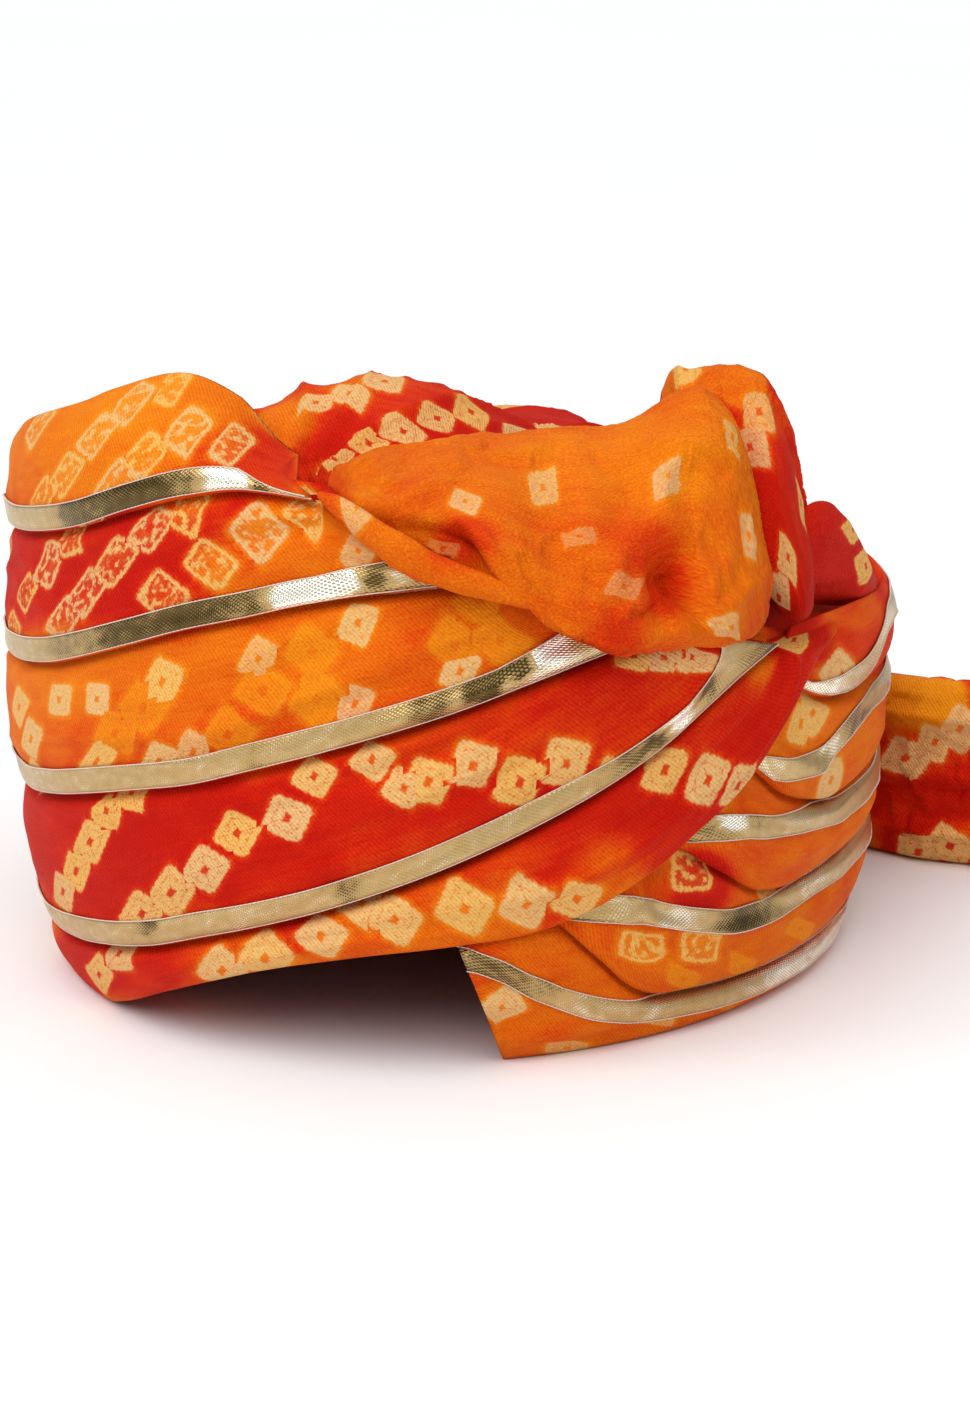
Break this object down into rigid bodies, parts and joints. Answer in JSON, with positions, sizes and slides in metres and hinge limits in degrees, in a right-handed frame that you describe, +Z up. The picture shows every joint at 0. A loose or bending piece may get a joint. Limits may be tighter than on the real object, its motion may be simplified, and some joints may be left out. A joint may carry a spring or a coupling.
{
  "type": "wound turban",
  "caption": "Wound tie-dye turban with lapped turns, gold ribbon trim, a puffed side knot and a loose pleated tail.",
  "frame": {"origin": "middle of the bounding box, on the surface that the rim stands on", "axes": "+Z up through the crown, -Y out of the forehead, +X towards the wearer's left, where the knot is"},
  "size_m": [0.3024, 0.3032, 0.1854],
  "materials": {
    "orange_cloth": "fine woven tie-dye cloth with a soft sheen, orange with cream squares",
    "red_cloth": "fine woven tie-dye cloth with a soft sheen, red with cream squares",
    "gold_ribbon": "woven metallic gold ribbon with thin pale selvages"
  },
  "bodies": {
    "root": {"padded_wall": "orange_cloth", "crown": "red_cloth", "front_turn_1": "orange_cloth", "front_turn_2": "red_cloth", "front_turn_3": "orange_cloth", "front_turn_4": "red_cloth", "front_turn_5": "orange_cloth", "side_turn_1": "red_cloth", "side_turn_2": "orange_cloth", "side_turn_3": "orange_cloth", "side_turn_4": "orange_cloth", "side_turn_5": "orange_cloth", "front_ribbon_1": "gold_ribbon", "front_ribbon_2": "gold_ribbon", "front_ribbon_3": "gold_ribbon", "front_ribbon_4": "gold_ribbon", "side_ribbon_1": "gold_ribbon", "side_ribbon_2": "gold_ribbon", "side_ribbon_3": "gold_ribbon", "side_ribbon_4": "gold_ribbon", "side_ribbon_5": "gold_ribbon", "knot_bloom": "orange_cloth", "knot_fold": "orange_cloth", "knot_crest": "red_cloth", "knot_tuck": "red_cloth", "tail": "red_cloth"}
  },
  "joints": []
}
